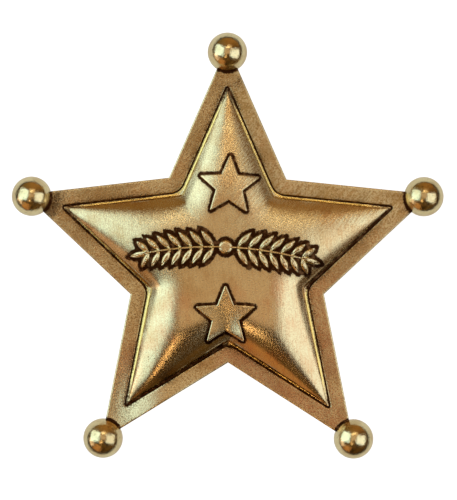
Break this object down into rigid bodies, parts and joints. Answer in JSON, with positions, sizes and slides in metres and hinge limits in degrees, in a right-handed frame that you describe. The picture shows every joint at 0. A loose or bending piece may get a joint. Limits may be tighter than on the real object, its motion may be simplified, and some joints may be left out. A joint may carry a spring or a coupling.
{
  "type": "sheriff star badge",
  "caption": "Brass star badge with a grooved rim, puffed hollow centre, raised relief, ball tips and a brooch pin behind, worn on a coat or shirt.",
  "frame": {"origin": "centre of the badge's box at its base, on the surface that the five balls rest on", "axes": "+Z out of the badge's face, +Y towards the top point, +X to the right seen from the face"},
  "size_m": [0.0692, 0.0682, 0.0075],
  "materials": {
    "antique_brass": "satin brushed brass with dark patina in the groove and around the relief",
    "polished_brass": "polished brass with a little patina",
    "pin_steel": "plain dull nickel-plated steel"
  },
  "bodies": {
    "root": {"star": "antique_brass", "ball_tip_top": "polished_brass", "ball_tip_upper_right": "polished_brass", "ball_tip_lower_right": "polished_brass", "ball_tip_lower_left": "polished_brass", "ball_tip_upper_left": "polished_brass", "brooch_pin": "pin_steel"}
  },
  "joints": []
}
